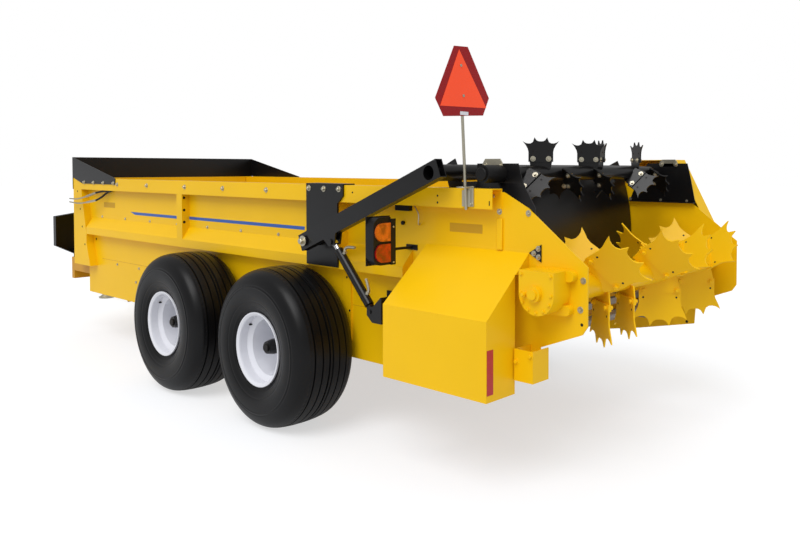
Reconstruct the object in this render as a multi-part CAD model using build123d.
"""Box manure spreader on tandem wheels, parked on its jack, one STEP file for each piece.

Build frame: X is measured forward from the rear edge of the rear side plates, Y to the left and
Z up from the ground. Every piece is moved to the hitch pin frame when it is written.
"""

import os
from math import asin, atan2, cos, degrees, hypot, pi, radians, sin, tan

from build123d import *

# Place of the hitch pin, which is the origin of the finished part
HITCH_FROM_REAR = 8150.0
HITCH_HEIGHT = 460.0

# General fits
RUNNING_GAP = 0.06
SEAT_GAP = 0.3
SIDE_PLAY = 1.0
MOVING_GAP = 6.0

# Box: walls, rails, ledges and posts
BOX_HALF_WIDTH = 866.0
BOX_FRONT = 5818.0
WALL_OUT_LOWER = 884.0
WALL_OUT_UPPER = 892.0
WALL_TOP = 1411.0
RAIL_TOP = 1516.0
RAIL_OUT = 953.0
RAIL_SHEET = 5.0
RAIL_REAR = 530.0
SILL_BOTTOM = 439.0
SILL_FRONT = 5650.0
SILL_TOP = 700.0
WALL_REAR = 1830.0
LEDGE_TOP = 1152.0
LEDGE_LIP_TOP = 1059.0
LEDGE_LIP_BOTTOM = 997.0
LEDGE_SHEET = 5.0
MID_POST_REAR = 3725.0
POST_WIDTH = 84.0
REAR_POST_REAR = 1790.0
REAR_STRIP = 42.0
REAR_STRIP_SHEET = 12.0
REAR_STRIP_BOTTOM = 545.0
LEDGE_REAR = 1200.0
FRONT_POST_TOP_WIDTH = 180.0
FRONT_POST_BOTTOM_WIDTH = 355.0
FRONT_WALL_THICKNESS = 20.0
ARCH_REAR = 1960.0
ARCH_FRONT = 3540.0
ARCH_TOP = 600.0

# Black guard above the front wall
GUARD_TOP = 1715.0
GUARD_SHEET = 5.0
GUARD_WING_REAR = 4898.0
GUARD_WING_BOTTOM = 1467.0
GUARD_CORNER_BOTTOM = 1525.0
GUARD_CORNER_RUN = 220.0

# Front shield, a pan ahead of the box
SHIELD_FRONT = 6200.0
SHIELD_HALF_WIDTH = 1000.0
SHIELD_DEPTH = 60.0
SHIELD_SHEET = 4.0
SHIELD_END_LOW = 846.0
SHIELD_END_HIGH = 1136.0
SHIELD_SHOULDER = 600.0
SHIELD_LOW = 636.0
SHIELD_HIGH = 1193.0
SHIELD_NOTCH_HALF = 250.0
SHIELD_NOTCH_TOP = 820.0
SHIELD_BRACKET_Z = 792.0

# Floor, cross members and side beams
FLOOR_TOP = 750.0
FLOOR_THICKNESS = 20.0
FLOOR_REAR = 620.0
FLOOR_FRONT = 5860.0
BEAM_INNER = 766.0
BEAM_BOTTOM = 600.0
BEAM_REAR = 450.0
BEAM_FRONT = 6120.0
CROSS_DEPTH = 75.0
CROSS_WIDTH = 50.0
CROSS_COUNT = 8
CROSS_FIRST = 760.0
CROSS_LAST = 5560.0
CROSS_LOW_DEPTH = 60.0
BEAM_SIDE_GAP = 2.0

# Apron: two chains with slats, round a front and a rear shaft
APRON_REAR = 560.0
APRON_FRONT = 5920.0
APRON_SHAFT_HEIGHT = 693.0
CHAIN_INNER_RADIUS = 58.0
CHAIN_HEIGHT = 24.0
CHAIN_WIDTH = 40.0
CHAIN_OFFSET = 680.0
SLAT_HEIGHT = 38.0
SLAT_WIDTH = 40.0
SLAT_HALF_LENGTH = 735.0
SLAT_COUNT = 28
APRON_SHAFT_RADIUS = 25.0

# Rear side plates and the black plates above them
PLATE_OUT = 872.0
PLATE_THICKNESS = 8.0
PLATE_TOP = 1498.0
PLATE_TOP_REAR = 520.0
PLATE_SHOULDER = (359.0, 1420.0)
PLATE_REAR_TOP = 1152.0
PLATE_REAR_BOTTOM = 866.0
PLATE_LOWER_CORNER = (280.0, 727.0)
PLATE_FOOT = (292.0, 574.0)
PLATE_HEEL = (700.0, 490.0)
UPPER_PLATE_OUT = 804.0
UPPER_PLATE_SHEET = 5.0
UPPER_PLATE_TOP = 1647.0
UPPER_PLATE_FOLD = 1543.0
UPPER_PLATE_FOOT = 1420.0
UPPER_PLATE_BOTTOM = 1385.0
UPPER_PLATE_FRONT = 765.0
UPPER_PLATE_REAR = 480.0
UPPER_PLATE_FOOT_REAR = 320.0
UPPER_RIGHT_OUTLINE = (
    (647.0, 1655.0), (350.0, 1655.0), (326.0, 1558.0), (291.0, 1392.0), (792.0, 1392.0), (700.0, 1610.0),
)
UPPER_RIGHT_FLANGE = 34.0

# Beaters
LOWER_BEATER_X = 206.0
LOWER_BEATER_Z = 1020.0
LOWER_TUBE_RADIUS = 76.0
LOWER_TIP_RADIUS = 350.0
LOWER_SHAFT_RADIUS = 30.0
LOWER_PADDLE_BASE = 250.0
LOWER_PADDLE_WIDTH = 330.0
LOWER_PADDLE_ROOT = 112.0
LOWER_PADDLES = (
    (583, -60, 1), (40, -60, 1), (-283, -60, -1), (-638, -60, -1),
    (434, 180, 1), (179, 180, 1), (-220, 180, -1), (-691, 180, -1),
    (415, 60, 1), (-215, 60, -1), (-690, 60, 1),
)
UPPER_BEATER_X = 600.0
UPPER_BEATER_Z = 1592.0
UPPER_TUBE_RADIUS = 42.0
UPPER_TIP_RADIUS = 206.0
UPPER_SHAFT_RADIUS = 20.0
UPPER_PADDLE_BASE = 140.0
UPPER_PADDLE_WIDTH = 206.0
UPPER_PADDLE_ROOT = 66.0
UPPER_PADDLES = (
    (450, 0, 1), (-36, 0, 1), (-171, 0, -1), (-615, 0, -1),
    (640, -120, -1), (278, -120, 1), (-50, -120, 1), (-496, -120, -1), (-740, -120, 1),
    (166, 120, -1), (-369, 120, 1), (560, 120, 1),
)
BEATER_END_GAP = 14.0
PADDLE_SHEET = 8.0
PADDLE_TURN = 37.0
PADDLE_INNER_TOOTH = 0.345
PADDLE_HALF_EDGE = (
    (0.0, 0.835), (0.14, 0.845), (0.24, 0.885), (PADDLE_INNER_TOOTH, 1.0),
    (0.44, 0.81), (0.56, 0.755), (0.70, 0.75), (0.84, 0.775), (1.0, 0.845),
)
PADDLE_WAIST = ((0.905, 0.68), (0.80, 0.53), (0.76, 0.40))
BRACKET_FOOT = 0.8
GEARCASE_OUT = 1010.0
GEARCASE_REAR = 99.0
GEARCASE_TOP = 1130.0
GEARCASE_RADIUS = 105.0
POCKET_X = (228.0, 344.0)
POCKET_Z = (578.0, 735.0)
POCKET_OUT = 1000.0
POCKET_SHEET = 6.0
BEARING_RADIUS = 47.0
BEARING_DEPTH = 145.0
LOWER_BEARING_RADIUS = 65.0

# Drive covers
COVER_REAR = 352.0
COVER_FRONT = 1086.0
COVER_OUT = 1200.0
COVER_BOTTOM = 505.0
COVER_FOLD = 895.0
COVER_TOP = 1195.0
COVER_SHEET = 4.0
COVER_NOTCH_OUT = 985.0
COVER_NOTCH_TOP = 1095.0
CHAIN_CASE_OUT = 1000.0
CHAIN_CASE_SHEET = 4.0
CHAIN_CASE_TOP = 1680.0
CHAIN_CASE_TOP_REAR = 439.0
CHAIN_CASE_TOP_FRONT = 732.0
CHAIN_CASE_SHOULDER = (394.0, 1594.0)
CHAIN_CASE_REAR = 100.0
CHAIN_CASE_REAR_TOP = 1042.0
CHAIN_CASE_REAR_BOTTOM = 880.0
CHAIN_CASE_BOTTOM = 600.0
CHAIN_CASE_BOTTOM_REAR = 420.0
CHAIN_CASE_FRONT = 1000.0
CHAIN_CASE_FRONT_TOP = 1300.0

# End gate and its lift
GATE_PIVOT_X = 1950.0
GATE_PIVOT_Z = 1170.0
GATE_RADIUS = 1170.0
GATE_SHEET = 5.0
GATE_RIB_DEPTH = 100.0
GATE_RIB_SHEET = 6.0
GATE_HALF_WIDTH = 850.0
GATE_BOTTOM = 801.0
GATE_RIB_RISE = 4.0
ARM_ANGLE = 21.4
ARM_INNER = 1030.0
ARM_WIDTH = 50.8
ARM_HEIGHT = 101.6
ARM_SHEET = 5.0
ARM_TAIL = 48.0
ARM_BEYOND_TUBE = 72.0
TORQUE_TUBE_RADIUS = 45.0
TORQUE_TUBE_SHEET = 6.0
PIVOT_PIN_RADIUS = 20.0
BRACKET_SHEET = 12.0
BRACKET_REAR = 1720.0
BRACKET_FRONT = 2090.0
CYLINDER_EYE_ALONG = 247.0
CYLINDER_EYE_BELOW = 86.0
CYLINDER_BASE_X = 1335.0
CYLINDER_BASE_Z = 805.0
CYLINDER_RADIUS = 27.0
CYLINDER_ROD_RADIUS = 16.0
CYLINDER_EYE_RADIUS = 26.0
CYLINDER_EYE_WIDTH = 30.0
CYLINDER_PIN_RADIUS = 12.5
CYLINDER_GLAND_FROM_EYE = 66.0
CYLINDER_NECK = 18.0
CYLINDER_CAP = 40.0
CYLINDER_ROD_BACKLASH = 10.0
EAR_SHEET = 9.0

# Wheels, walking beams and cross axle
AXLE_REAR_X = 2148.0
AXLE_FRONT_X = 3351.0
TYRE_RADIUS = 500.0
TYRE_WIDTH = 429.0
TYRE_SIDES = 44
TYRE_MID_Y = 1106.0
RIM_HALF_WIDTH = 190.0
RIM_FLANGE_RADIUS = 230.0
RIM_SEAT_RADIUS = 214.0
RIM_WELL_RADIUS = 182.0
RIM_SHEET = 7.0
RIM_DISC_OFFSET = -55.0
HUB_RADIUS = 47.5
HUB_FLANGE_RADIUS = 105.0
HUB_FLANGE_THICKNESS = 12.0
HUB_INNER_Y = 940.0
HUB_OUTER_Y = 1224.0
SPINDLE_RADIUS = 30.0
WALKING_BEAM_WIDTH = 100.0
WALKING_BEAM_HEIGHT = 130.0
WALKING_BEAM_OVERRUN = 85.0
CROSS_AXLE_SIZE = 100.0
CROSS_AXLE_PIN_RADIUS = 40.0
SADDLE_THICKNESS = 20.0
SADDLE_HALF_LENGTH = 200.0

# Drawbar, hitch, jack and power shaft
DRAWBAR_REAR_X = 5000.0
DRAWBAR_REAR_Y = 780.0
DRAWBAR_MEET_X = 7100.0
DRAWBAR_BOTTOM = 400.0
DRAWBAR_TOP = 520.0
DRAWBAR_BEAM_WIDTH = 75.0
NOSE_WIDTH = 100.0
NOSE_REAR = 7000.0
NOSE_FRONT = 8030.0
CLEVIS_WIDTH = 110.0
CLEVIS_EAR = 20.0
CLEVIS_GAP = 60.0
CLEVIS_PIN_RADIUS = 16.0
CLEVIS_NOSE_RADIUS = 55.0
GEARBOX_REAR = 6130.0
GEARBOX_FRONT = 6360.0
GEARBOX_HALF_WIDTH = 110.0
GEARBOX_BOTTOM = 545.0
GEARBOX_TOP = 775.0
POWER_SHAFT_HEIGHT = 660.0
POWER_SHAFT_FRONT = 7930.0
POWER_SHAFT_RADIUS = 18.0
POWER_SHAFT_SEAT = 40.0
POWER_BORE_RADIUS = 17.5
YOKE_RADIUS = 36.0
YOKE_LENGTH = 110.0
POWER_GUARD_RADIUS = 38.0
POWER_GUARD_SHEET = 4.0
CRADLE_X = 7560.0
JACK_X = 7800.0
JACK_Y = -158.0
JACK_PIVOT_Z = 460.0
JACK_TUBE_RADIUS = 28.5
JACK_LEG_RADIUS = 22.5
JACK_TUBE_BOTTOM = 170.0
JACK_TUBE_TOP = 860.0
JACK_FOOT_RADIUS = 92.0
JACK_PIVOT_RADIUS = 30.0

# Lamps and the slow vehicle emblem
LAMP_X = 1200.0
LAMP_INNER = 1054.0
LAMP_WIDTH = 168.0
LAMP_BOTTOM = 1090.0
LAMP_HEIGHT = 268.0
LAMP_DEPTH = 66.0
LENS_WIDTH = 106.0
LENS_HEIGHT = 100.0
LENS_DEPTH = 10.0
AMBER_LENS_BOTTOM = 1224.0
RED_LENS_BOTTOM = 1110.0
LAMP_ROUND = 52.0
ROUND_STEPS = 6
LAMP_ROD_RADIUS = 8.0
LAMP_ROD_Z = 1166.0
EMBLEM_X = 690.0
EMBLEM_BOTTOM = 1892.0
EMBLEM_WIDTH = 406.0
EMBLEM_HEIGHT = 356.0
EMBLEM_SHEET = 3.0
EMBLEM_LEAN = 3.5
POLE_RADIUS = 8.0
POLE_BOTTOM = 1405.0
POLE_FOOT_OUT = 10.0


def block(x_range, y_range, z_range):
    """Box between the given low and high values."""
    sizes = [high - low for low, high in (x_range, y_range, z_range)]
    middle = [(low + high) / 2 for low, high in (x_range, y_range, z_range)]
    return Location(middle) * Box(*sizes)


def outline_face(points):
    """Face inside the closed polygon through points."""
    return Face(Wire.make_polygon([Vector(*p) for p in points], close=True))


def prism_y(points, y_low, y_high):
    """Solid whose outline in the XZ plane is points, from y_low to y_high."""
    face = outline_face([(x, y_low, z) for x, z in points])
    return Solid.extrude(face, Vector(0, y_high - y_low, 0))


def prism_x(points, x_low, x_high):
    """Solid whose outline in the YZ plane is points, from x_low to x_high."""
    face = outline_face([(x_low, y, z) for y, z in points])
    return Solid.extrude(face, Vector(x_high - x_low, 0, 0))


def prism_z(points, z_low, z_high):
    """Solid whose outline in the XY plane is points, from z_low to z_high."""
    face = outline_face([(x, y, z_low) for x, y in points])
    return Solid.extrude(face, Vector(0, 0, z_high - z_low))


def round_bar(start, end, radius):
    """Cylinder from start to end."""
    run = Vector(*end) - Vector(*start)
    return Solid.make_cylinder(radius, run.length, Plane(origin=start, z_dir=run))


def bar_y(x, z, y_low, y_high, radius):
    """Cylinder along Y."""
    return round_bar((x, y_low, z), (x, y_high, z), radius)


def other_side(shape):
    """The same piece on the right hand side."""
    return mirror(shape, about=Plane.XZ)


def both_sides(shape):
    """The piece and its mirror image."""
    return shape + other_side(shape)


def save(name, shape):
    """Write one piece in the hitch pin frame."""
    placed = Location((-HITCH_FROM_REAR, 0, -HITCH_HEIGHT)) * shape
    export_step(placed, f"parts/{name}.step")


def side_wall():
    """Left wall panel: a lower face, a face set further out above it and an arch for the wheels."""
    lower_outline = [
        (WALL_REAR, SILL_BOTTOM),
        (ARCH_REAR, SILL_BOTTOM),
        (ARCH_REAR, ARCH_TOP),
        (ARCH_FRONT, ARCH_TOP),
        (ARCH_FRONT, SILL_BOTTOM),
        (SILL_FRONT, SILL_BOTTOM),
        (SILL_FRONT, SILL_TOP),
        (BOX_FRONT, SILL_TOP),
        (BOX_FRONT, LEDGE_LIP_BOTTOM),
        (WALL_REAR, LEDGE_LIP_BOTTOM),
    ]
    lower = prism_y(lower_outline, BOX_HALF_WIDTH, WALL_OUT_LOWER)
    upper = block(
        (WALL_REAR, BOX_FRONT),
        (BOX_HALF_WIDTH, WALL_OUT_UPPER),
        (LEDGE_LIP_BOTTOM, WALL_TOP),
    )
    return lower + upper


def ledge(x_rear, x_front, wall_out):
    """Folded ledge on the wall: a slope, an upright lip and a return below it."""
    outer = [
        (wall_out, LEDGE_TOP),
        (RAIL_OUT, LEDGE_LIP_TOP),
        (RAIL_OUT, LEDGE_LIP_BOTTOM),
        (wall_out, LEDGE_LIP_BOTTOM),
    ]
    slope = atan2(LEDGE_TOP - LEDGE_LIP_TOP, RAIL_OUT - wall_out)
    drop = LEDGE_SHEET / cos(slope)
    lip_in = RAIL_OUT - LEDGE_SHEET
    lip_top_in = LEDGE_LIP_TOP - drop + LEDGE_SHEET * tan(slope)
    inner = [
        (wall_out, LEDGE_TOP - drop),
        (lip_in, lip_top_in),
        (lip_in, LEDGE_LIP_BOTTOM + LEDGE_SHEET),
        (wall_out, LEDGE_LIP_BOTTOM + LEDGE_SHEET),
    ]
    solid = prism_x(outer, x_rear, x_front)
    return solid - prism_x(inner, x_rear + LEDGE_SHEET, x_front - LEDGE_SHEET)


def ledges():
    """The three ledges of the left side, between the posts."""
    front = ledge(MID_POST_REAR + POST_WIDTH, front_post_x(LEDGE_LIP_BOTTOM), WALL_OUT_UPPER)
    middle = ledge(REAR_POST_REAR + POST_WIDTH, MID_POST_REAR, WALL_OUT_UPPER)
    rear = ledge(LEDGE_REAR, REAR_POST_REAR, PLATE_OUT)
    return front + middle + rear


def front_post_x(z):
    """Rear edge of the front corner post at height z."""
    share = (WALL_TOP - z) / (WALL_TOP - SILL_TOP)
    width = FRONT_POST_TOP_WIDTH + share * (FRONT_POST_BOTTOM_WIDTH - FRONT_POST_TOP_WIDTH)
    return BOX_FRONT - width


def posts():
    """Front corner post, middle post and rear post of the left side."""
    front_outline = [
        (BOX_FRONT, WALL_TOP),
        (front_post_x(WALL_TOP), WALL_TOP),
        (front_post_x(LEDGE_LIP_BOTTOM), LEDGE_LIP_BOTTOM),
        (front_post_x(LEDGE_LIP_BOTTOM), LEDGE_LIP_BOTTOM - POST_WIDTH),
        (front_post_x(SILL_TOP), SILL_TOP),
        (BOX_FRONT, SILL_TOP),
    ]
    front = prism_y(front_outline, WALL_OUT_LOWER, RAIL_OUT)
    middle = block(
        (MID_POST_REAR, MID_POST_REAR + POST_WIDTH),
        (WALL_OUT_LOWER, RAIL_OUT),
        (LEDGE_LIP_BOTTOM, WALL_TOP),
    )
    rear = block(
        (REAR_POST_REAR, REAR_POST_REAR + POST_WIDTH),
        (PLATE_OUT, RAIL_OUT),
        (LEDGE_LIP_BOTTOM, WALL_TOP),
    )
    strip = block(
        (REAR_POST_REAR - REAR_STRIP, WALL_REAR - SIDE_PLAY), (PLATE_OUT, PLATE_OUT + REAR_STRIP_SHEET),
        (REAR_STRIP_BOTTOM, LEDGE_LIP_BOTTOM),
    )
    return front + middle + rear + strip - side_wall() - ledges()


def top_rail():
    """Left top rail, a channel open below."""
    outer = block((RAIL_REAR, BOX_FRONT), (PLATE_OUT, RAIL_OUT), (WALL_TOP, RAIL_TOP))
    hollow = block(
        (RAIL_REAR, BOX_FRONT - RAIL_SHEET),
        (PLATE_OUT + RAIL_SHEET, RAIL_OUT - RAIL_SHEET),
        (WALL_TOP, RAIL_TOP - RAIL_SHEET),
    )
    return outer - hollow


def front_wall():
    """Front wall of the box, above the apron."""
    bottom = FLOOR_TOP + SLAT_HEIGHT + MOVING_GAP
    return block(
        (BOX_FRONT - FRONT_WALL_THICKNESS, BOX_FRONT),
        (-BOX_HALF_WIDTH, BOX_HALF_WIDTH),
        (bottom, RAIL_TOP),
    )


def front_guard():
    """Black guard: a sheet on the front wall with a tapered wing along each rail."""
    sheet = block(
        (BOX_FRONT, BOX_FRONT + GUARD_SHEET),
        (-RAIL_OUT - GUARD_SHEET, RAIL_OUT + GUARD_SHEET),
        (WALL_TOP, GUARD_TOP),
    )
    wing_outline = [
        (BOX_FRONT + GUARD_SHEET, GUARD_TOP),
        (GUARD_WING_REAR, RAIL_TOP + MOVING_GAP),
        (GUARD_WING_REAR, GUARD_WING_BOTTOM),
        (BOX_FRONT - GUARD_CORNER_RUN, GUARD_WING_BOTTOM),
        (BOX_FRONT + GUARD_SHEET, GUARD_CORNER_BOTTOM),
    ]
    wing = prism_y(wing_outline, RAIL_OUT, RAIL_OUT + GUARD_SHEET)
    return sheet + both_sides(wing)


def shield_outline(inset):
    """Outline of the front shield in YZ, pulled in by inset."""
    left = [
        (SHIELD_NOTCH_HALF + inset, SHIELD_NOTCH_TOP + inset),
        (SHIELD_NOTCH_HALF + inset, SHIELD_LOW + inset),
        (SHIELD_SHOULDER, SHIELD_LOW + inset),
        (SHIELD_HALF_WIDTH - inset, SHIELD_END_LOW + inset),
        (SHIELD_HALF_WIDTH - inset, SHIELD_END_HIGH - inset),
        (SHIELD_SHOULDER, SHIELD_HIGH - inset),
    ]
    return left + [(-y, z) for y, z in reversed(left)]


def front_shield():
    """Pan shield over the drive ahead of the box, with brackets to the side beams."""
    pan = prism_x(shield_outline(0), SHIELD_FRONT - SHIELD_DEPTH, SHIELD_FRONT)
    hollow = prism_x(
        shield_outline(SHIELD_SHEET), SHIELD_FRONT - SHIELD_DEPTH, SHIELD_FRONT - SHIELD_SHEET
    )
    foot = BEAM_FRONT - 20
    bend = SHIELD_BRACKET_Z
    bracket = prism_y(
        [
            (foot, FLOOR_TOP - FLOOR_THICKNESS),
            (foot, bend),
            (SHIELD_FRONT - SHIELD_SHEET, bend),
            (SHIELD_FRONT - SHIELD_SHEET, bend - 12),
            (foot + 12, bend - 12),
            (foot + 12, FLOOR_TOP - FLOOR_THICKNESS),
        ],
        790, 850,
    )
    return pan - hollow + both_sides(bracket)


def floor():
    """Floor of the box."""
    return block(
        (FLOOR_REAR, FLOOR_FRONT),
        (-PLATE_OUT + PLATE_THICKNESS, PLATE_OUT - PLATE_THICKNESS),
        (FLOOR_TOP - FLOOR_THICKNESS, FLOOR_TOP),
    )


def side_beams():
    """The two side beams under the floor, with the risers that carry the drawbar."""
    beam_out = BOX_HALF_WIDTH - BEAM_SIDE_GAP
    floor_under = FLOOR_TOP - FLOOR_THICKNESS
    beam = block((BEAM_REAR, BEAM_FRONT), (BEAM_INNER, beam_out), (BEAM_BOTTOM, floor_under))
    for x in (DRAWBAR_REAR_X + 20, SILL_FRONT - 80, BEAM_FRONT - 60):
        beam += block((x, x + 60), (BEAM_INNER, beam_out), (DRAWBAR_TOP, BEAM_BOTTOM))
    return both_sides(beam)


def cross_members():
    """The cross members under the floor and the two that lie on the drawbar."""
    floor_under = FLOOR_TOP - FLOOR_THICKNESS
    members = None
    pitch = (CROSS_LAST - CROSS_FIRST) / (CROSS_COUNT - 1)
    for index in range(CROSS_COUNT):
        x = CROSS_FIRST + index * pitch
        member = block(
            (x, x + CROSS_WIDTH), (-BEAM_INNER, BEAM_INNER), (floor_under - CROSS_DEPTH, floor_under)
        )
        members = member if members is None else members + member
    for x in (SILL_FRONT - 80, BEAM_FRONT - 60):
        members += block(
            (x, x + 60), (-BEAM_INNER, BEAM_INNER), (DRAWBAR_TOP, DRAWBAR_TOP + CROSS_LOW_DEPTH)
        )
    return members


def apron():
    """Two chains and their slats as one loop round the two shafts."""
    span = APRON_FRONT - APRON_REAR
    outer_radius = CHAIN_INNER_RADIUS + CHAIN_HEIGHT
    loop = Plane.XZ.offset(-(CHAIN_OFFSET + CHAIN_WIDTH / 2))
    middle = Pos((APRON_REAR + APRON_FRONT) / 2, APRON_SHAFT_HEIGHT)
    ring = SlotCenterToCenter(span, 2 * outer_radius) - SlotCenterToCenter(
        span, 2 * CHAIN_INNER_RADIUS
    )
    chain = extrude(loop * middle * ring, CHAIN_WIDTH)
    shape = both_sides(chain)
    perimeter = 2 * span + 2 * pi * CHAIN_INNER_RADIUS
    for index in range(SLAT_COUNT):
        shape += slat(index * perimeter / SLAT_COUNT + SLAT_WIDTH, span)
    return shape


def slat(travel, span):
    """One slat at the given travel round the loop, from the rear of the top run."""
    half_turn = pi * CHAIN_INNER_RADIUS
    centre_z = CHAIN_INNER_RADIUS + SLAT_HEIGHT / 2
    bar = Box(SLAT_WIDTH, 2 * SLAT_HALF_LENGTH, SLAT_HEIGHT)
    if travel < span:
        x, turn = APRON_REAR + travel, 0.0
    elif travel < span + half_turn:
        x, turn = APRON_FRONT, degrees((travel - span) / CHAIN_INNER_RADIUS)
    elif travel < 2 * span + half_turn:
        x, turn = APRON_FRONT - (travel - span - half_turn), 180.0
    else:
        x, turn = APRON_REAR, 180.0 + degrees((travel - 2 * span - half_turn) / CHAIN_INNER_RADIUS)
    return Location((x, 0, APRON_SHAFT_HEIGHT)) * Rotation(0, turn, 0) * Pos(0, 0, centre_z) * bar


def apron_shafts():
    """Front and rear apron shafts with their sprocket discs."""
    shafts = None
    for x in (APRON_REAR, APRON_FRONT):
        shaft = bar_y(x, APRON_SHAFT_HEIGHT, -BEAM_INNER, BEAM_INNER, APRON_SHAFT_RADIUS)
        low, high = CHAIN_OFFSET - CHAIN_WIDTH / 2, CHAIN_OFFSET + CHAIN_WIDTH / 2
        disc = bar_y(x, APRON_SHAFT_HEIGHT, low, high, CHAIN_INNER_RADIUS - SEAT_GAP)
        shafts = shaft + both_sides(disc) if shafts is None else shafts + shaft + both_sides(disc)
    return shafts


def rear_plate():
    """Left rear side plate, which carries the lower beater."""
    outline = [
        (WALL_REAR, SILL_BOTTOM),
        (WALL_REAR, PLATE_TOP),
        (PLATE_TOP_REAR, PLATE_TOP),
        PLATE_SHOULDER,
        (0, PLATE_REAR_TOP),
        (0, PLATE_REAR_BOTTOM),
        (30, 824),
        PLATE_LOWER_CORNER,
        PLATE_FOOT,
        PLATE_HEEL,
        (1000, SILL_BOTTOM),
    ]
    sheet = prism_y(outline, PLATE_OUT - PLATE_THICKNESS, PLATE_OUT)
    hole = bar_y(LOWER_BEATER_X, LOWER_BEATER_Z, 0, RAIL_OUT, LOWER_SHAFT_RADIUS + MOVING_GAP)
    return sheet - hole


def upper_plate_right():
    """Black plate on the right, flat, with a foot flange."""
    inner = PLATE_OUT - PLATE_THICKNESS
    sheet = prism_y(UPPER_RIGHT_OUTLINE, -inner, -inner + UPPER_PLATE_SHEET)
    rear, front = UPPER_RIGHT_OUTLINE[3][0], UPPER_RIGHT_OUTLINE[4][0]
    foot = UPPER_RIGHT_OUTLINE[3][1]
    hole = bar_y(UPPER_BEATER_X, UPPER_BEATER_Z, -RAIL_OUT, 0, UPPER_SHAFT_RADIUS + MOVING_GAP)
    flange = block((rear, front), (-inner, -inner + UPPER_RIGHT_FLANGE), (foot - UPPER_PLATE_SHEET, foot))
    return sheet + flange - hole


def upper_plate():
    """Black plate on the left, folded inwards at the top of the rear side plate."""
    inner_foot = PLATE_OUT - PLATE_THICKNESS
    sheet = UPPER_PLATE_SHEET
    profile = [
        (UPPER_PLATE_OUT, UPPER_PLATE_TOP),
        (UPPER_PLATE_OUT, UPPER_PLATE_FOLD),
        (inner_foot, UPPER_PLATE_FOOT),
        (inner_foot, UPPER_PLATE_BOTTOM),
        (inner_foot - sheet, UPPER_PLATE_BOTTOM),
        (inner_foot - sheet, UPPER_PLATE_FOOT - 2),
        (UPPER_PLATE_OUT - sheet, UPPER_PLATE_FOLD - 2),
        (UPPER_PLATE_OUT - sheet, UPPER_PLATE_TOP),
    ]
    outline = [
        (UPPER_PLATE_FRONT, UPPER_PLATE_TOP),
        (UPPER_PLATE_REAR, UPPER_PLATE_TOP),
        (UPPER_PLATE_REAR - 33, UPPER_PLATE_FOLD),
        (UPPER_PLATE_FOOT_REAR, UPPER_PLATE_FOOT),
        (UPPER_PLATE_FOOT_REAR, UPPER_PLATE_BOTTOM),
        (UPPER_PLATE_FRONT, UPPER_PLATE_BOTTOM),
    ]
    folded = prism_x(profile, 0, BEAM_FRONT) & prism_y(outline, 0, RAIL_OUT)
    hole = bar_y(UPPER_BEATER_X, UPPER_BEATER_Z, 0, RAIL_OUT, UPPER_SHAFT_RADIUS + MOVING_GAP)
    return folded - hole


def paddle(root, tip, base, width):
    """Flat plate along Z that flares to four pointed teeth with round valleys, thickness along X."""
    half, height = width / 2, tip - root
    waist = [(base / width + (u - 0.76), v) for u, v in PADDLE_WAIST]
    edge = list(PADDLE_HALF_EDGE) + waist + [(base / width, 0.0)]
    right = [(u * half, root + v * height) for u, v in edge]
    left = [(-y, z) for y, z in right[:0:-1]]
    return prism_x(left + right, -PADDLE_SHEET / 2, PADDLE_SHEET / 2)


def paddle_bracket(tube_radius, root, base):
    """Trapezoid bracket that holds the paddle's foot on the tube."""
    foot, head = BRACKET_FOOT * base / 2, base / 2
    outline = [(-foot, tube_radius * 0.6), (-head, root + 34), (head, root + 34), (foot, tube_radius * 0.6)]
    return prism_x(outline, PADDLE_SHEET / 2, 1.5 * PADDLE_SHEET)


def beater(axis_x, axis_z, tube_radius, tip_radius, sizes, places, half_length, shaft, reach):
    """Beater tube with its paddles and a shaft end on each side."""
    root, base, width = sizes
    shape = bar_y(axis_x, axis_z, -half_length, half_length, tube_radius)
    shape += bar_y(axis_x, axis_z, -reach, reach, shaft)
    axis = Location((axis_x, 0, axis_z))
    aside = PADDLE_INNER_TOOTH * width / 2 * sin(radians(90 - PADDLE_TURN))
    tip = (tip_radius**2 - aside**2) ** 0.5
    blade = paddle(root, tip, base, width) + paddle_bracket(tube_radius, root, base)
    for y, turn, hand in places:
        facing = Rotation(0, 0, hand * (PADDLE_TURN - 90))
        shape += axis * Rotation(0, turn, 0) * Pos(0, y, 0) * facing * blade
    return shape


def lower_beater():
    """Large lower beater."""
    half_length = PLATE_OUT - PLATE_THICKNESS - BEATER_END_GAP
    sizes = (LOWER_PADDLE_ROOT, LOWER_PADDLE_BASE, LOWER_PADDLE_WIDTH)
    return beater(
        LOWER_BEATER_X, LOWER_BEATER_Z, LOWER_TUBE_RADIUS, LOWER_TIP_RADIUS, sizes, LOWER_PADDLES,
        half_length, LOWER_SHAFT_RADIUS, GEARCASE_OUT - 30,
    )


def upper_beater():
    """Small upper beater."""
    half_length = UPPER_PLATE_OUT - UPPER_PLATE_SHEET - BEATER_END_GAP
    sizes = (UPPER_PADDLE_ROOT, UPPER_PADDLE_BASE, UPPER_PADDLE_WIDTH)
    return beater(
        UPPER_BEATER_X, UPPER_BEATER_Z, UPPER_TUBE_RADIUS, UPPER_TIP_RADIUS, sizes, UPPER_PADDLES,
        half_length, UPPER_SHAFT_RADIUS, UPPER_PLATE_OUT + BEARING_DEPTH - 10,
    )


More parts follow.
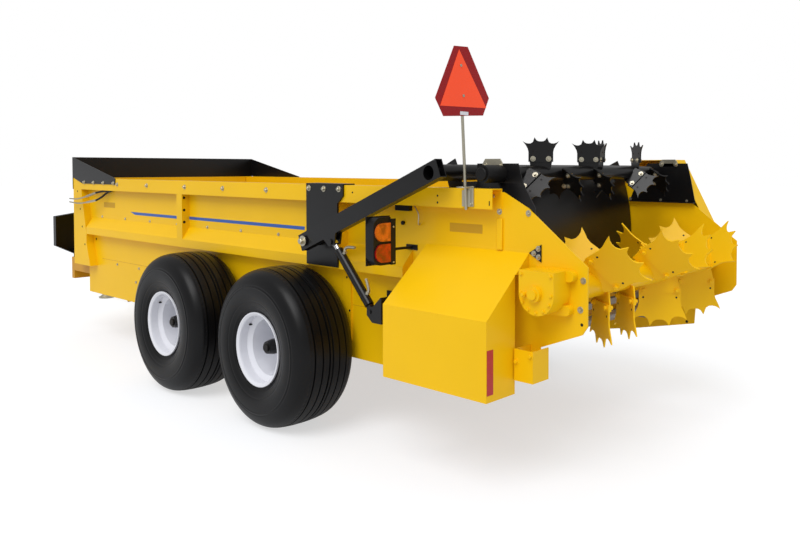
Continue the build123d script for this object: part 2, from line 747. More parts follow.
def gearcase():
    """Rounded case on the left end of the lower beater, with a boss, a filler and two ears."""
    rear, front = GEARCASE_REAR, GEARCASE_REAR + 2 * GEARCASE_RADIUS
    middle = GEARCASE_REAR + GEARCASE_RADIUS
    upper = block((rear, front), (PLATE_OUT, GEARCASE_OUT), (LOWER_BEATER_Z, GEARCASE_TOP))
    lower = bar_y(middle, LOWER_BEATER_Z, PLATE_OUT, GEARCASE_OUT, GEARCASE_RADIUS)
    boss = bar_y(LOWER_BEATER_X, LOWER_BEATER_Z, GEARCASE_OUT, GEARCASE_OUT + 22, 38)
    boss += bar_y(LOWER_BEATER_X, LOWER_BEATER_Z, GEARCASE_OUT + 22, GEARCASE_OUT + 34, 24)
    filler = bar_y(middle + 62, LOWER_BEATER_Z - 6, GEARCASE_OUT, GEARCASE_OUT + 24, 12)
    case = upper + lower + boss + filler
    for x, z in ((rear - 18, GEARCASE_TOP - 26), (rear + 4, LOWER_BEATER_Z - 82)):
        ear = bar_y(x, z, PLATE_OUT, PLATE_OUT + 40, 26)
        ear += prism_y([(x, z + 26), (x, z - 26), (middle, z - 30), (middle, z + 30)], PLATE_OUT, PLATE_OUT + 40)
        case += ear
    bore = bar_y(
        LOWER_BEATER_X, LOWER_BEATER_Z, PLATE_OUT, GEARCASE_OUT - 25,
        LOWER_SHAFT_RADIUS + RUNNING_GAP,
    )
    return case - bore


def pocket_bracket():
    """U-shaped pocket under the left drive's rear end."""
    outer = block(POCKET_X, (PLATE_OUT, POCKET_OUT), POCKET_Z)
    inner = block(
        (POCKET_X[0] + POCKET_SHEET, POCKET_X[1] - POCKET_SHEET), (PLATE_OUT, POCKET_OUT - POCKET_SHEET),
        POCKET_Z,
    )
    return outer - inner


def beater_bearings():
    """Right bearing of the lower beater and both bearings of the upper beater."""
    lower_end = -CHAIN_CASE_OUT + CHAIN_CASE_SHEET + SIDE_PLAY
    lower = bar_y(LOWER_BEATER_X, LOWER_BEATER_Z, lower_end, -PLATE_OUT, LOWER_BEARING_RADIUS)
    lower -= bar_y(
        LOWER_BEATER_X, LOWER_BEATER_Z, lower_end + 6, -PLATE_OUT, LOWER_SHAFT_RADIUS + RUNNING_GAP
    )
    outer = UPPER_PLATE_OUT + BEARING_DEPTH
    bore = UPPER_SHAFT_RADIUS + RUNNING_GAP
    left = bar_y(UPPER_BEATER_X, UPPER_BEATER_Z, UPPER_PLATE_OUT, outer, BEARING_RADIUS)
    left -= bar_y(UPPER_BEATER_X, UPPER_BEATER_Z, UPPER_PLATE_OUT, outer - 8, bore)
    inner = PLATE_OUT - PLATE_THICKNESS
    right = bar_y(UPPER_BEATER_X, UPPER_BEATER_Z, -outer, -inner, BEARING_RADIUS)
    right -= bar_y(UPPER_BEATER_X, UPPER_BEATER_Z, 8 - outer, -inner, bore)
    return lower + left + right


def cover_profile(inset):
    """Outline in YZ of the left drive cover."""
    slope = atan2(COVER_TOP - COVER_FOLD, COVER_OUT - PLATE_OUT)
    drop = inset / cos(slope)
    fold = COVER_FOLD - drop + inset * tan(slope)
    return [
        (PLATE_OUT, COVER_BOTTOM),
        (PLATE_OUT, COVER_TOP - drop),
        (COVER_OUT - inset, fold),
        (COVER_OUT - inset, COVER_BOTTOM),
    ]


def drive_cover_left():
    """Large sheet cover on the left, open below and towards the plate."""
    shell = prism_x(cover_profile(0), COVER_REAR, COVER_FRONT)
    shell -= prism_x(cover_profile(COVER_SHEET), COVER_REAR + COVER_SHEET, COVER_FRONT - COVER_SHEET)
    notch = block(
        (COVER_REAR - 1, COVER_REAR + COVER_SHEET + 1),
        (PLATE_OUT - 1, COVER_NOTCH_OUT),
        (COVER_BOTTOM - 1, COVER_NOTCH_TOP),
    )
    return shell - notch


def chain_case_outline(inset):
    """Outline in XZ of the chain case on the right."""
    return [
        (CHAIN_CASE_TOP_REAR + inset, CHAIN_CASE_TOP - inset),
        (CHAIN_CASE_SHOULDER[0] + inset, CHAIN_CASE_SHOULDER[1]),
        (CHAIN_CASE_REAR + inset, CHAIN_CASE_REAR_TOP),
        (CHAIN_CASE_REAR + inset, CHAIN_CASE_REAR_BOTTOM),
        (CHAIN_CASE_BOTTOM_REAR + inset, CHAIN_CASE_BOTTOM + inset),
        (CHAIN_CASE_FRONT - inset, CHAIN_CASE_BOTTOM + inset),
        (CHAIN_CASE_FRONT - inset, CHAIN_CASE_FRONT_TOP - inset),
        (CHAIN_CASE_TOP_FRONT - inset, CHAIN_CASE_TOP - inset),
    ]


def drive_cover_right():
    """Chain case on the right, from the lower beater up to the upper one."""
    shell = prism_y(chain_case_outline(0), -CHAIN_CASE_OUT, -PLATE_OUT)
    shell -= prism_y(
        chain_case_outline(CHAIN_CASE_SHEET), -CHAIN_CASE_OUT + CHAIN_CASE_SHEET, -PLATE_OUT
    )
    rail_space = block(
        (RAIL_REAR - 5, BOX_FRONT), (-RAIL_OUT - 2, -PLATE_OUT), (WALL_TOP - 2, RAIL_TOP + 2)
    )
    return shell - rail_space


def arm_frame():
    """Location that takes the pivot's own axes to the arm: X rearwards along it, Z square to it."""
    return Location((GATE_PIVOT_X, 0, GATE_PIVOT_Z)) * Rotation(0, ARM_ANGLE, 0) * Rotation(0, 0, 180)


def lift_arm():
    """Left lift arm with the ears of the cylinder, before it is placed."""
    half_height = ARM_HEIGHT / 2
    arm_out = ARM_INNER + ARM_WIDTH
    far = GATE_RADIUS + ARM_BEYOND_TUBE
    tube = block((-ARM_TAIL, far), (-arm_out, -ARM_INNER), (-half_height, half_height))
    tube -= block(
        (ARM_TAIL + 60, far), (-arm_out + ARM_SHEET, -ARM_INNER - ARM_SHEET),
        (-half_height + ARM_SHEET, half_height - ARM_SHEET),
    )
    ear_points = [
        (CYLINDER_EYE_ALONG - 62, -half_height),
        (CYLINDER_EYE_ALONG - 26, -CYLINDER_EYE_BELOW - 24),
        (CYLINDER_EYE_ALONG + 26, -CYLINDER_EYE_BELOW - 24),
        (CYLINDER_EYE_ALONG + 62, -half_height),
    ]
    for low, high in ((-arm_out, -arm_out + EAR_SHEET), (-ARM_INNER - EAR_SHEET, -ARM_INNER)):
        tube += prism_y(ear_points, low, high)
    for low, high in ((-arm_out - 9, -arm_out), (-ARM_INNER, -ARM_INNER + 6)):
        tube += bar_y(CYLINDER_EYE_ALONG, -CYLINDER_EYE_BELOW, low, high, CYLINDER_PIN_RADIUS + 4)
    tube -= bar_y(0, 0, -arm_out - 1, -ARM_INNER + 1, PIVOT_PIN_RADIUS + RUNNING_GAP)
    return tube


def gate_frame():
    """Both lift arms and the torque tube that joins them."""
    arm_out = ARM_INNER + ARM_WIDTH
    arms = lift_arm() + other_side(lift_arm())
    tube = bar_y(GATE_RADIUS, 0, -arm_out, arm_out, TORQUE_TUBE_RADIUS)
    bore = bar_y(GATE_RADIUS, 0, -arm_out, arm_out, TORQUE_TUBE_RADIUS - TORQUE_TUBE_SHEET)
    return arm_frame() * (arms + tube - bore)


def gate_angles():
    """Angles of the gate's lower and upper edge about its pivot, up from the rear."""
    low = -degrees(asin((GATE_PIVOT_Z - GATE_BOTTOM) / (GATE_RADIUS + GATE_SHEET)))
    return low, ARM_ANGLE - 2.6


def gate_point(radius, angle):
    """Point in XZ at a radius and an angle up from the rear about the gate's pivot."""
    a = radians(angle)
    return GATE_PIVOT_X - radius * cos(a), GATE_PIVOT_Z + radius * sin(a)


def gate_sector(radius_in, radius_out, low, high, y_low, y_high):
    """Solid between two radii and two angles about the gate's pivot."""
    corners = [gate_point(r, a) for r, a in ((radius_in, low), (radius_out, low))]
    corners += [gate_point(r, a) for r, a in ((radius_out, high), (radius_in, high))]
    middle = (low + high) / 2

    def at(point):
        return Vector(point[0], y_low, point[1])

    edges = [
        Edge.make_line(at(corners[0]), at(corners[1])),
        Edge.make_three_point_arc(
            at(corners[1]), at(gate_point(radius_out, middle)), at(corners[2])
        ),
        Edge.make_line(at(corners[2]), at(corners[3])),
        Edge.make_three_point_arc(
            at(corners[3]), at(gate_point(radius_in, middle)), at(corners[0])
        ),
    ]
    return Solid.extrude(Face(Wire(edges)), Vector(0, y_high - y_low, 0))


def gate_panel():
    """Curved end gate sheet with side ribs that hang on the torque tube."""
    low, high = gate_angles()
    radius_out = GATE_RADIUS + GATE_SHEET
    sheet = gate_sector(GATE_RADIUS, radius_out, low, high, -GATE_HALF_WIDTH, GATE_HALF_WIDTH)
    rib = gate_sector(
        radius_out - GATE_RIB_DEPTH, radius_out, low, ARM_ANGLE + GATE_RIB_RISE,
        GATE_HALF_WIDTH - GATE_RIB_SHEET, GATE_HALF_WIDTH,
    )
    tube_x, tube_z = gate_point(GATE_RADIUS, ARM_ANGLE)
    tube_space = bar_y(
        tube_x, tube_z, -BOX_HALF_WIDTH, BOX_HALF_WIDTH, TORQUE_TUBE_RADIUS + SEAT_GAP
    )
    return sheet + both_sides(rib) - tube_space


def arm_bracket():
    """Left bracket on the rail with the pivot pin of the lift arm."""
    outline = [
        (BRACKET_FRONT, RAIL_TOP),
        (BRACKET_REAR, RAIL_TOP),
        (BRACKET_REAR, 1450),
        (BRACKET_REAR + 55, 1400),
        (BRACKET_REAR + 55, LEDGE_LIP_BOTTOM + 10),
        (BRACKET_FRONT, LEDGE_LIP_BOTTOM + 10),
    ]
    plate_out = RAIL_OUT + BRACKET_SHEET
    plate = prism_y(outline, RAIL_OUT, plate_out)
    flange = block((BRACKET_REAR, BRACKET_FRONT), (PLATE_OUT, plate_out), (RAIL_TOP, RAIL_TOP + 8))
    boss = bar_y(GATE_PIVOT_X, GATE_PIVOT_Z, plate_out, ARM_INNER - SIDE_PLAY, PIVOT_PIN_RADIUS + 16)
    arm_out = ARM_INNER + ARM_WIDTH
    pin = bar_y(GATE_PIVOT_X, GATE_PIVOT_Z, plate_out, arm_out + 12, PIVOT_PIN_RADIUS)
    head = bar_y(
        GATE_PIVOT_X, GATE_PIVOT_Z, arm_out + SIDE_PLAY, arm_out + 12, PIVOT_PIN_RADIUS + 6
    )
    return plate + flange + boss + pin + head


def cylinder_points():
    """Base pin and rod eye of the left cylinder, in XZ."""
    a = radians(ARM_ANGLE)
    eye_x = GATE_PIVOT_X - CYLINDER_EYE_ALONG * cos(a) - CYLINDER_EYE_BELOW * sin(a)
    eye_z = GATE_PIVOT_Z + CYLINDER_EYE_ALONG * sin(a) - CYLINDER_EYE_BELOW * cos(a)
    return (CYLINDER_BASE_X, CYLINDER_BASE_Z), (eye_x, eye_z)


def cylinder_frame():
    """Location that takes X to the cylinder's axis from its base pin, and its pin to pin length."""
    (base_x, base_z), (eye_x, eye_z) = cylinder_points()
    rise = degrees(atan2(eye_z - base_z, eye_x - base_x))
    middle_y = ARM_INNER + ARM_WIDTH / 2
    place = Location((base_x, middle_y, base_z)) * Rotation(0, -rise, 0)
    return place, hypot(eye_x - base_x, eye_z - base_z)


def cylinder_barrel():
    """Left cylinder barrel with its base eye."""
    place, length = cylinder_frame()
    half = CYLINDER_EYE_WIDTH / 2
    gland = length - CYLINDER_GLAND_FROM_EYE
    start = CYLINDER_EYE_RADIUS + CYLINDER_NECK
    barrel = round_bar((start, 0, 0), (gland, 0, 0), CYLINDER_RADIUS)
    barrel += block((0, start), (-half, half), (-CYLINDER_ROD_RADIUS, CYLINDER_ROD_RADIUS))
    barrel += bar_y(0, 0, -half, half, CYLINDER_EYE_RADIUS)
    barrel -= bar_y(0, 0, -half, half, CYLINDER_PIN_RADIUS + RUNNING_GAP)
    barrel -= round_bar(
        (start + CYLINDER_CAP, 0, 0), (gland, 0, 0), CYLINDER_ROD_RADIUS + RUNNING_GAP
    )
    return place * barrel


def cylinder_rod():
    """Left cylinder rod with its eye."""
    place, length = cylinder_frame()
    half = CYLINDER_EYE_WIDTH / 2
    start = CYLINDER_EYE_RADIUS + CYLINDER_NECK + CYLINDER_CAP + CYLINDER_ROD_BACKLASH
    rod = round_bar((start, 0, 0), (length - CYLINDER_EYE_RADIUS + 6, 0, 0), CYLINDER_ROD_RADIUS)
    rod += bar_y(length, 0, -half, half, CYLINDER_EYE_RADIUS)
    rod -= bar_y(length, 0, -half, half, CYLINDER_PIN_RADIUS)
    return place * rod


def cylinder_mount():
    """Left lower bracket of the cylinder with its pin."""
    half = CYLINDER_EYE_WIDTH / 2 + SIDE_PLAY
    middle_y = ARM_INNER + ARM_WIDTH / 2
    foot = [
        (CYLINDER_BASE_X - 90, CYLINDER_BASE_Z + 90),
        (CYLINDER_BASE_X - 90, CYLINDER_BASE_Z - 60),
        (CYLINDER_BASE_X - 20, CYLINDER_BASE_Z - 60),
        (CYLINDER_BASE_X + 26, CYLINDER_BASE_Z - 22),
        (CYLINDER_BASE_X + 26, CYLINDER_BASE_Z + 20),
        (CYLINDER_BASE_X - 30, CYLINDER_BASE_Z + 34),
    ]
    cheeks = prism_y(foot, middle_y - half - EAR_SHEET, middle_y - half)
    cheeks += prism_y(foot, middle_y + half, middle_y + half + EAR_SHEET)
    back = block(
        (CYLINDER_BASE_X - 98, CYLINDER_BASE_X - 90),
        (PLATE_OUT, middle_y + half + EAR_SHEET),
        (CYLINDER_BASE_Z - 60, CYLINDER_BASE_Z + 90),
    )
    wall_plate = block(
        (CYLINDER_BASE_X - 98, CYLINDER_BASE_X + 80), (PLATE_OUT, PLATE_OUT + 10),
        (CYLINDER_BASE_Z - 60, CYLINDER_BASE_Z + 90),
    )
    pin = bar_y(
        CYLINDER_BASE_X, CYLINDER_BASE_Z, middle_y - half - EAR_SHEET - 6,
        middle_y + half + EAR_SHEET + 6, CYLINDER_PIN_RADIUS,
    )
    return cheeks + back + wall_plate + pin


def revolve_profile(points):
    """Solid of revolution about Y of a closed profile of (y, radius) points."""
    face = outline_face([(0, y, r) for y, r in points])
    return Solid.revolve(face, 360, Axis.Y)


def facet_ring(profile, sides):
    """Closed ring of flat facets about Y through the corners of a (y, radius) profile."""
    angles = [2 * pi * index / sides for index in range(sides)]
    rows = [[Vector(r * cos(a), y, r * sin(a)) for y, r in profile] for a in angles]
    faces = []
    for index, row in enumerate(rows):
        after = rows[(index + 1) % sides]
        for here in range(len(profile)):
            there = (here + 1) % len(profile)
            corners = [row[here], row[there], after[there], after[here]]
            faces.append(Face(Wire.make_polygon(corners, close=True)))
    ring = Solid(Shell(faces))
    return ring if ring.volume > 0 else -ring


def tyre():
    """Tyre about its own centre, outer side towards +Y."""
    half = TYRE_WIDTH / 2
    bead = RIM_HALF_WIDTH - 12
    grow = 1 / cos(pi / TYRE_SIDES)
    inner = (RIM_SEAT_RADIUS + SEAT_GAP) * grow
    side_radius = inner + 0.52 * (TYRE_RADIUS - inner)
    outer = [
        (bead, inner), (bead, (RIM_FLANGE_RADIUS + 6) * grow), (half, side_radius),
        (half * 0.86, TYRE_RADIUS - 42), (half * 0.52, TYRE_RADIUS),
    ]
    return facet_ring(outer + [(-y, r) for y, r in outer[::-1]], TYRE_SIDES)


def rim():
    """Deep dished rim with its disc well inboard of the outer flange."""
    half, sheet = RIM_HALF_WIDTH, RIM_SHEET
    flange_in = half - 10
    seat, well, flange = RIM_SEAT_RADIUS, RIM_WELL_RADIUS, RIM_FLANGE_RADIUS
    disc = RIM_DISC_OFFSET
    right = [(flange_in, flange), (flange_in, seat), (130, seat), (110, well)]
    outer = [(-y, r) for y, r in right] + right[::-1]
    outer = [(-half, flange)] + outer + [(half, flange)]
    lip = [(half, flange - 7), (half - 8, seat - sheet + 2)]
    inner_right = lip + [(half - 16, seat - sheet), (130 - 3, seat - sheet), (110 - 3, well - sheet)]
    bore = HUB_RADIUS + SIDE_PLAY
    inner = inner_right + [
        (disc + 10, well - sheet),
        (disc + 10, bore),
        (disc, bore),
        (disc, well - sheet),
    ] + [(-y, r) for y, r in reversed(inner_right)]
    return revolve_profile(outer + inner)


def hub(mid_y):
    """Hub on the spindle, about the wheel's centre, with the flange behind the disc."""
    inner, outer = HUB_INNER_Y - mid_y, HUB_OUTER_Y - mid_y
    disc = RIM_DISC_OFFSET
    bore = SPINDLE_RADIUS + RUNNING_GAP
    end = outer - 40
    profile = [
        (inner, bore),
        (inner, HUB_RADIUS),
        (disc - HUB_FLANGE_THICKNESS, HUB_RADIUS),
        (disc - HUB_FLANGE_THICKNESS, HUB_FLANGE_RADIUS),
        (disc, HUB_FLANGE_RADIUS),
        (disc, HUB_RADIUS),
        (end, HUB_RADIUS),
        (outer, HUB_RADIUS - 9),
        (outer, 0),
        (end, 0),
        (end, bore),
    ]
    return revolve_profile(profile)


def walking_beam():
    """Left walking beam with its two spindles."""
    top, bottom = (TYRE_RADIUS + s * WALKING_BEAM_HEIGHT / 2 for s in (1, -1))
    inner, outer = BOX_HALF_WIDTH - WALKING_BEAM_WIDTH, BOX_HALF_WIDTH
    beam = block(
        (AXLE_REAR_X - WALKING_BEAM_OVERRUN, AXLE_FRONT_X + WALKING_BEAM_OVERRUN), (inner, outer),
        (bottom, top),
    )
    for x in (AXLE_REAR_X, AXLE_FRONT_X):
        beam += bar_y(x, TYRE_RADIUS, outer, HUB_INNER_Y - SIDE_PLAY, SPINDLE_RADIUS + 16)
        beam += bar_y(x, TYRE_RADIUS, outer, HUB_OUTER_Y - 45, SPINDLE_RADIUS)
    middle = (AXLE_REAR_X + AXLE_FRONT_X) / 2
    return beam - bar_y(middle, TYRE_RADIUS, inner, outer, CROSS_AXLE_PIN_RADIUS + RUNNING_GAP)


def cross_axle():
    """Square axle across the frame with saddles to the side beams and a pin for each walking beam."""
    middle = (AXLE_REAR_X + AXLE_FRONT_X) / 2
    half = CROSS_AXLE_SIZE / 2
    saddle_in = BEAM_INNER - SADDLE_THICKNESS
    saddle_top = FLOOR_TOP - FLOOR_THICKNESS - CROSS_DEPTH
    bar = block(
        (middle - half, middle + half), (-saddle_in, saddle_in),
        (TYRE_RADIUS - half, TYRE_RADIUS + half),
    )
    saddle_outline = [
        (middle - half, TYRE_RADIUS - half),
        (middle + half, TYRE_RADIUS - half),
        (middle + SADDLE_HALF_LENGTH, BEAM_BOTTOM),
        (middle + SADDLE_HALF_LENGTH, saddle_top),
        (middle - SADDLE_HALF_LENGTH, saddle_top),
        (middle - SADDLE_HALF_LENGTH, BEAM_BOTTOM),
    ]
    saddle = prism_y(saddle_outline, saddle_in, BEAM_INNER)
    pin = bar_y(middle, TYRE_RADIUS, BEAM_INNER, BOX_HALF_WIDTH + 4, CROSS_AXLE_PIN_RADIUS)
    return bar + both_sides(saddle + pin)


def drawbar():
    """Drawbar: two beams that meet in a nose, with the gearbox plate, the cradle and the jack pin."""
    half = DRAWBAR_BEAM_WIDTH / 2
    half_nose = NOSE_WIDTH / 2
    beam = prism_z(
        [
            (DRAWBAR_REAR_X, DRAWBAR_REAR_Y - half),
            (DRAWBAR_REAR_X, DRAWBAR_REAR_Y + half),
            (DRAWBAR_MEET_X, half_nose),
            (DRAWBAR_MEET_X, 0),
            (DRAWBAR_MEET_X - 180, 0),
        ],
        DRAWBAR_BOTTOM, DRAWBAR_TOP,
    )
    nose = block((NOSE_REAR, NOSE_FRONT), (-half_nose, half_nose), (DRAWBAR_BOTTOM, DRAWBAR_TOP))
    plate_y = 420.0
    plate = block(
        (GEARBOX_REAR + 10, GEARBOX_FRONT - 10), (-plate_y, plate_y), (DRAWBAR_TOP, GEARBOX_BOTTOM)
    )
    cradle_top = POWER_SHAFT_HEIGHT - POWER_GUARD_RADIUS - SEAT_GAP
    cradle = block((CRADLE_X, CRADLE_X + 12), (-half_nose, half_nose), (DRAWBAR_TOP, cradle_top))
    jack_pin = bar_y(JACK_X, JACK_PIVOT_Z, JACK_Y + JACK_TUBE_RADIUS + 4, -half_nose, JACK_PIVOT_RADIUS)
    return both_sides(beam) + nose + plate + cradle + jack_pin


def hitch_clevis():
    """Clevis with the hitch pin's bore in two ears."""
    half_gap = CLEVIS_GAP / 2
    half_width = CLEVIS_WIDTH / 2
    ears = None
    for low in (HITCH_HEIGHT + half_gap, HITCH_HEIGHT - half_gap - CLEVIS_EAR):
        high = low + CLEVIS_EAR
        ear = block((NOSE_FRONT, HITCH_FROM_REAR), (-half_width, half_width), (low, high))
        ear += round_bar((HITCH_FROM_REAR, 0, low), (HITCH_FROM_REAR, 0, high), CLEVIS_NOSE_RADIUS)
        ears = ear if ears is None else ears + ear
    back = block(
        (NOSE_FRONT, NOSE_FRONT + 30), (-half_width, half_width),
        (HITCH_HEIGHT - half_gap - CLEVIS_EAR, HITCH_HEIGHT + half_gap + CLEVIS_EAR),
    )
    bore = round_bar((HITCH_FROM_REAR, 0, 0), (HITCH_FROM_REAR, 0, 1000), CLEVIS_PIN_RADIUS)
    return ears + back - bore


def front_gearbox():
    """Gearbox block behind the power shaft."""
    case = block(
        (GEARBOX_REAR, GEARBOX_FRONT), (-GEARBOX_HALF_WIDTH, GEARBOX_HALF_WIDTH),
        (GEARBOX_BOTTOM, GEARBOX_TOP),
    )
    bore = round_bar(
        (GEARBOX_FRONT - POWER_SHAFT_SEAT, 0, POWER_SHAFT_HEIGHT), (GEARBOX_FRONT, 0, POWER_SHAFT_HEIGHT),
        POWER_SHAFT_RADIUS + RUNNING_GAP,
    )
    return case - bore


def power_shaft():
    """Power shaft with a yoke at each end."""
    rear = GEARBOX_FRONT + SIDE_PLAY

    def along(start, end, radius):
        return round_bar((start, 0, POWER_SHAFT_HEIGHT), (end, 0, POWER_SHAFT_HEIGHT), radius)

    seat = GEARBOX_FRONT - POWER_SHAFT_SEAT + SIDE_PLAY
    shaft = along(seat, POWER_SHAFT_FRONT, POWER_SHAFT_RADIUS)
    shaft += along(rear, rear + YOKE_LENGTH, YOKE_RADIUS)
    shaft += along(POWER_SHAFT_FRONT - YOKE_LENGTH, POWER_SHAFT_FRONT, YOKE_RADIUS)
    return shaft - along(POWER_SHAFT_FRONT - 70, POWER_SHAFT_FRONT, POWER_BORE_RADIUS)


def power_guard():
    """Plastic tube round the power shaft, resting in the cradle."""
    rear = GEARBOX_FRONT + YOKE_LENGTH + 20
    front = POWER_SHAFT_FRONT - YOKE_LENGTH - 20
    start, end = (rear, 0, POWER_SHAFT_HEIGHT), (front, 0, POWER_SHAFT_HEIGHT)
    tube = round_bar(start, end, POWER_GUARD_RADIUS)
    return tube - round_bar(start, end, POWER_GUARD_RADIUS - POWER_GUARD_SHEET)


def jack_tube():
    """Outer tube of the jack with its pivot sleeve and crank."""
    tube = round_bar((JACK_X, JACK_Y, JACK_TUBE_BOTTOM), (JACK_X, JACK_Y, JACK_TUBE_TOP), JACK_TUBE_RADIUS)
    sleeve = bar_y(JACK_X, JACK_PIVOT_Z, JACK_Y, -NOSE_WIDTH / 2 - 8, JACK_PIVOT_RADIUS + 14)
    crank = bar_y(JACK_X, JACK_TUBE_TOP - 40, JACK_Y - 90, JACK_Y, 8)
    crank += round_bar(
        (JACK_X, JACK_Y - 84, JACK_TUBE_TOP - 190), (JACK_X, JACK_Y - 84, JACK_TUBE_TOP - 32), 7
    )
    crank += bar_y(JACK_X, JACK_TUBE_TOP - 184, JACK_Y - 190, JACK_Y - 84, 11)
    leg_bore = round_bar(
        (JACK_X, JACK_Y, 0), (JACK_X, JACK_Y, JACK_TUBE_TOP - 60), JACK_LEG_RADIUS + RUNNING_GAP
    )
    pin_bore = bar_y(
        JACK_X, JACK_PIVOT_Z, JACK_Y + JACK_TUBE_RADIUS + 2, 0, JACK_PIVOT_RADIUS + RUNNING_GAP
    )
    return tube + sleeve + crank - leg_bore - pin_bore


def jack_leg():
    """Inner leg of the jack with its round foot."""
    leg = round_bar((JACK_X, JACK_Y, 6), (JACK_X, JACK_Y, JACK_TUBE_TOP - 120), JACK_LEG_RADIUS)
    foot = Location((JACK_X, JACK_Y, 0)) * Solid.make_cone(JACK_FOOT_RADIUS - 8, JACK_FOOT_RADIUS, 14)
    dome = Location((JACK_X, JACK_Y, 14)) * Solid.make_cone(JACK_FOOT_RADIUS - 14, 34, 42)
    return leg + foot + dome


def rounded_end(y_range, z_range, radius):
    """Outline in YZ of a rectangle whose two outer corners are rounded."""
    (y_low, y_high), (z_low, z_high) = y_range, z_range
    points = [(y_low, z_low)]
    for index in range(ROUND_STEPS + 1):
        a = radians(-90 + 90 * index / ROUND_STEPS)
        points.append((y_high - radius + radius * cos(a), z_low + radius + radius * sin(a)))
    for index in range(ROUND_STEPS + 1):
        a = radians(90 * index / ROUND_STEPS)
        points.append((y_high - radius + radius * cos(a), z_high - radius + radius * sin(a)))
    return points + [(y_low, z_high)]


def lamp_housing():
    """Left lamp housing, its back plate and the rod to the rear side plate."""
    lens_out = LAMP_INNER + LAMP_WIDTH
    top = LAMP_BOTTOM + LAMP_HEIGHT
    plate = block((LAMP_X - 6, LAMP_X), (LAMP_INNER, lens_out), (LAMP_BOTTOM, top))
    body = prism_x(
        rounded_end((lens_out - LENS_WIDTH - 16, lens_out), (LAMP_BOTTOM + 4, top - 4), LAMP_ROUND),
        LAMP_X - LAMP_DEPTH, LAMP_X - 6,
    )
    rod = bar_y(LAMP_X + LAMP_ROD_RADIUS - 2, LAMP_ROD_Z, PLATE_OUT + 6, lens_out - 20, LAMP_ROD_RADIUS)
    foot = block((LAMP_X - 40, LAMP_X + 50), (PLATE_OUT, PLATE_OUT + 6), (LAMP_ROD_Z - 14, LAMP_ROD_Z + 16))
    return plate + body + rod + foot


def lamp_lens(z_low):
    """Left lens above z_low on the lamp's rear face."""
    lens_out = LAMP_INNER + LAMP_WIDTH - 8
    rear = LAMP_X - LAMP_DEPTH
    outline = rounded_end(
        (lens_out - LENS_WIDTH, lens_out), (z_low, z_low + LENS_HEIGHT), LENS_HEIGHT / 2 - 1
    )
    return prism_x(outline, rear - LENS_DEPTH, rear)


def emblem():
    """Truncated triangle plate at the top of the pole."""
    corner = EMBLEM_HEIGHT * 0.258
    half_bottom, half_top = EMBLEM_WIDTH / 2 * 0.74, 51.0
    outline = [
        (-half_bottom, 0),
        (half_bottom, 0),
        (EMBLEM_WIDTH / 2, corner),
        (half_top, EMBLEM_HEIGHT),
        (-half_top, EMBLEM_HEIGHT),
        (-EMBLEM_WIDTH / 2, corner),
    ]
    plate = prism_x(outline, -EMBLEM_SHEET / 2, EMBLEM_SHEET / 2)
    place = Location((EMBLEM_X, pole_y(EMBLEM_BOTTOM), EMBLEM_BOTTOM))
    return place * Rotation(-EMBLEM_LEAN, 0, 0) * plate


def pole_y(z):
    """Y of the leaning pole's axis at height z."""
    return RAIL_OUT + POLE_FOOT_OUT + tan(radians(EMBLEM_LEAN)) * (z - POLE_BOTTOM)


def emblem_pole():
    """Round pole and its bracket on the left rail."""
    x = EMBLEM_X + EMBLEM_SHEET / 2 + POLE_RADIUS
    top = EMBLEM_BOTTOM + EMBLEM_HEIGHT * 0.75
    pole = round_bar((x, pole_y(POLE_BOTTOM), POLE_BOTTOM), (x, pole_y(top), top), POLE_RADIUS)
    bracket = block(
        (x - 30, x + 30), (RAIL_OUT, RAIL_OUT + POLE_FOOT_OUT), (POLE_BOTTOM + 16, RAIL_TOP - 10)
    )
    return pole + bracket


def wheel_places():
    """Name, X and side of each wheel."""
    for side, sign in (("left", 1), ("right", -1)):
        for end, x in (("rear", AXLE_REAR_X), ("front", AXLE_FRONT_X)):
            yield f"{end}_{side}", x, sign


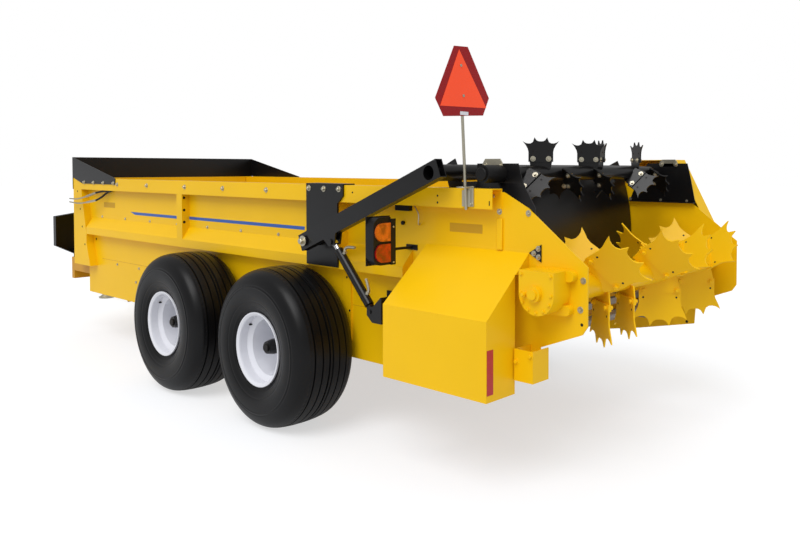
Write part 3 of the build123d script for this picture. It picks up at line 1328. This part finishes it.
def save_wheels():
    """Write the tyre, rim and hub of each wheel."""
    pieces = {"tyre": tyre(), "rim": rim(), "hub": hub(TYRE_MID_Y)}
    for name, x, sign in wheel_places():
        for kind, shape in pieces.items():
            placed = Location((x, TYRE_MID_Y, TYRE_RADIUS)) * shape
            save(f"{kind}_{name}", placed if sign > 0 else other_side(placed))


def main():
    """Build and write every piece."""
    os.makedirs("parts", exist_ok=True)
    save("side_beams", side_beams())
    save("cross_members", cross_members())
    save("drawbar", drawbar())
    save("hitch_clevis", hitch_clevis())
    save("side_wall_left", side_wall())
    save("side_wall_right", other_side(side_wall()))
    save("ledges_left", ledges())
    save("ledges_right", other_side(ledges()))
    save("side_posts", both_sides(posts()))
    save("top_rail_left", top_rail())
    save("top_rail_right", other_side(top_rail()))
    save("front_wall", front_wall())
    save("front_guard", front_guard())
    save("front_shield", front_shield())
    save("floor", floor())
    save("apron", apron())
    save("apron_shafts", apron_shafts())
    save("rear_plate_left", rear_plate())
    save("rear_plate_right", other_side(rear_plate()))
    save("upper_plates", upper_plate() + upper_plate_right())
    save("beater_gearcase", gearcase())
    save("pocket_bracket", pocket_bracket())
    save("beater_bearings", beater_bearings())
    save("lower_beater", lower_beater())
    save("upper_beater", upper_beater())
    save("drive_cover_left", drive_cover_left())
    save("drive_cover_right", drive_cover_right())
    save("gate_frame", gate_frame())
    save("gate_panel", gate_panel())
    save("arm_brackets", both_sides(arm_bracket()))
    save("cylinder_mounts", both_sides(cylinder_mount()))
    for side, place in (("left", lambda s: s), ("right", other_side)):
        save(f"cylinder_barrel_{side}", place(cylinder_barrel()))
        save(f"cylinder_rod_{side}", place(cylinder_rod()))
        save(f"walking_beam_{side}", place(walking_beam()))
    save("cross_axle", cross_axle())
    save_wheels()
    save("front_gearbox", front_gearbox())
    save("power_shaft", power_shaft())
    save("power_guard", power_guard())
    save("jack_tube", jack_tube())
    save("jack_leg", jack_leg())
    save("lamp_housings", both_sides(lamp_housing()))
    save("lamp_lenses_amber", both_sides(lamp_lens(AMBER_LENS_BOTTOM)))
    save("lamp_lenses_red", both_sides(lamp_lens(RED_LENS_BOTTOM)))
    save("emblem", emblem())
    save("emblem_pole", emblem_pole())


if __name__ == "__main__":
    main()
